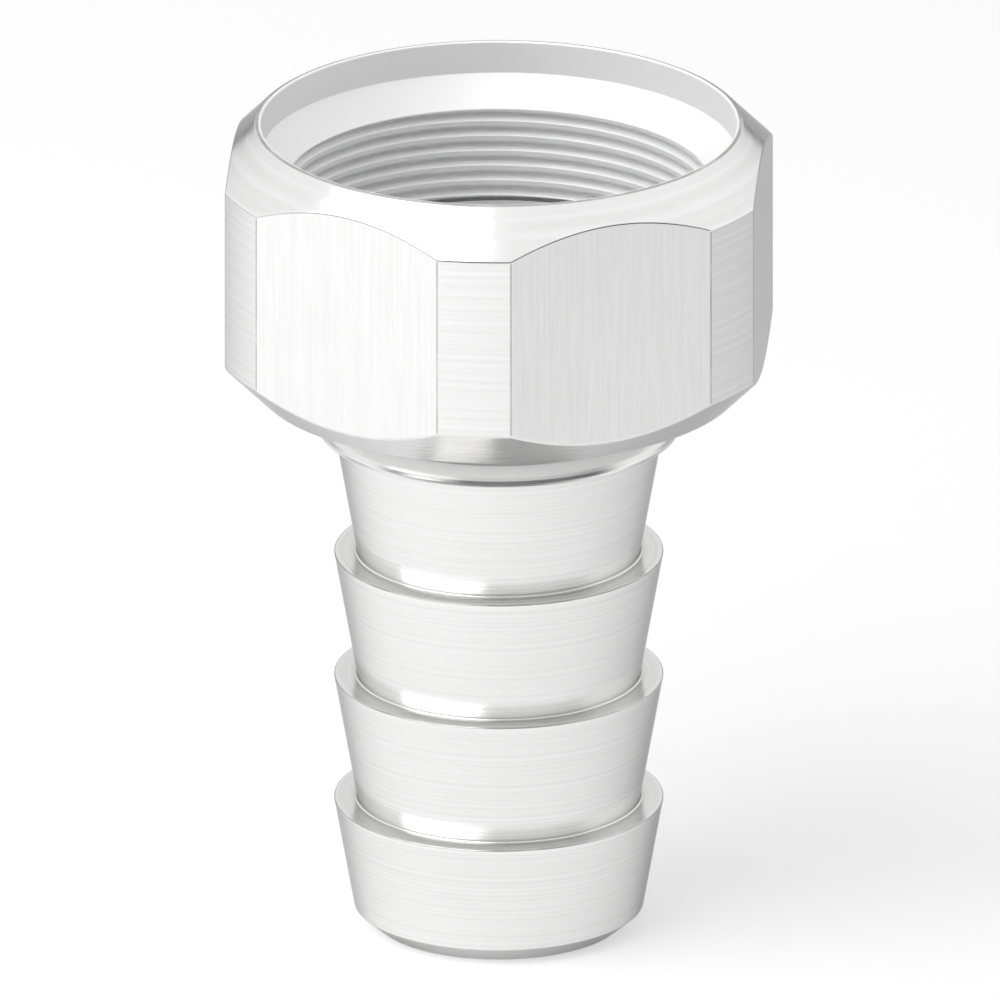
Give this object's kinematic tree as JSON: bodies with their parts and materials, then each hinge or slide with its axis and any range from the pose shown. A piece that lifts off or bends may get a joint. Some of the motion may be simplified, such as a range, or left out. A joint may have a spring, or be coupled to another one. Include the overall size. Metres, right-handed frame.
{
  "type": "shower hose connector",
  "caption": "Hexagonal union nut that turns on a barbed hose tail, with a flat sealing washer seated inside the threaded mouth.",
  "frame": {"origin": "centre of the hose tail's end face, on the surface that the fitting stands on", "axes": "+Z along the fitting's axis, from the hose end up to the mouth of the nut; -Y is square to one spanner flat"},
  "size_m": [0.026, 0.024, 0.0382],
  "materials": {
    "tail_metal": "bright nickel plating over turned brass, with fine lathe marks round the axis",
    "nut_metal": "polished chrome plating, satin in the bore and on the thread",
    "washer_rubber": "matte moulded rubber, pale grey"
  },
  "bodies": {
    "tail": {"hose_tail": "tail_metal", "sealing_washer": "washer_rubber"},
    "nut": {"union_nut": "nut_metal"}
  },
  "joints": [
    {"name": "nut_spin", "type": "hinge", "parent": "tail", "child": "nut", "pos_m": [0, 0, 0.0268], "axis": [0, 0, 1], "continuous": true}
  ]
}
